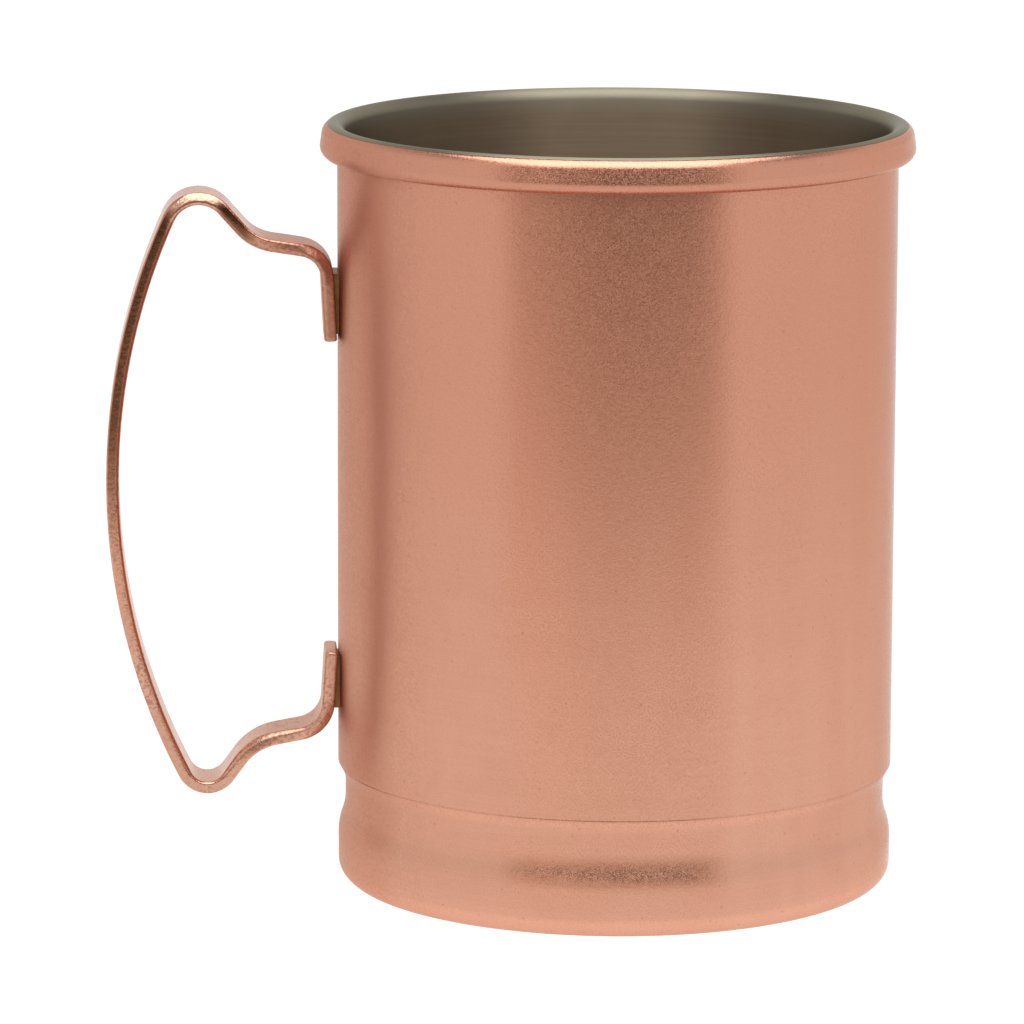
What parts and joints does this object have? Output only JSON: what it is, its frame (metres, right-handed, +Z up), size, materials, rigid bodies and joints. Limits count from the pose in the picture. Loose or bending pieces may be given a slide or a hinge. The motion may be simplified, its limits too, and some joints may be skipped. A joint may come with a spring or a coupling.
{
  "type": "copper mug",
  "caption": "Straight-sided lined copper mug with a rolled rim, a groove above the base and a bent strap handle brazed to the wall.",
  "frame": {"origin": "on the mug's axis, in the plane that it rests on", "axes": "+Z up along the mug's axis; the handle is on the -X side, in the XZ plane; the handle strap's width is along Y"},
  "size_m": [0.12, 0.0882, 0.1141],
  "materials": {
    "copper_body": "satin copper, fine vertical and circular brushing",
    "liner_steel": "satin, turned",
    "copper_handle": "polished copper, bright edges",
    "braze_alloy": "dull, as brazed"
  },
  "bodies": {
    "root": {"body_shell": "copper_body", "inner_liner": "liner_steel", "handle": "copper_handle", "upper_braze": "braze_alloy", "lower_braze": "braze_alloy"}
  },
  "joints": []
}
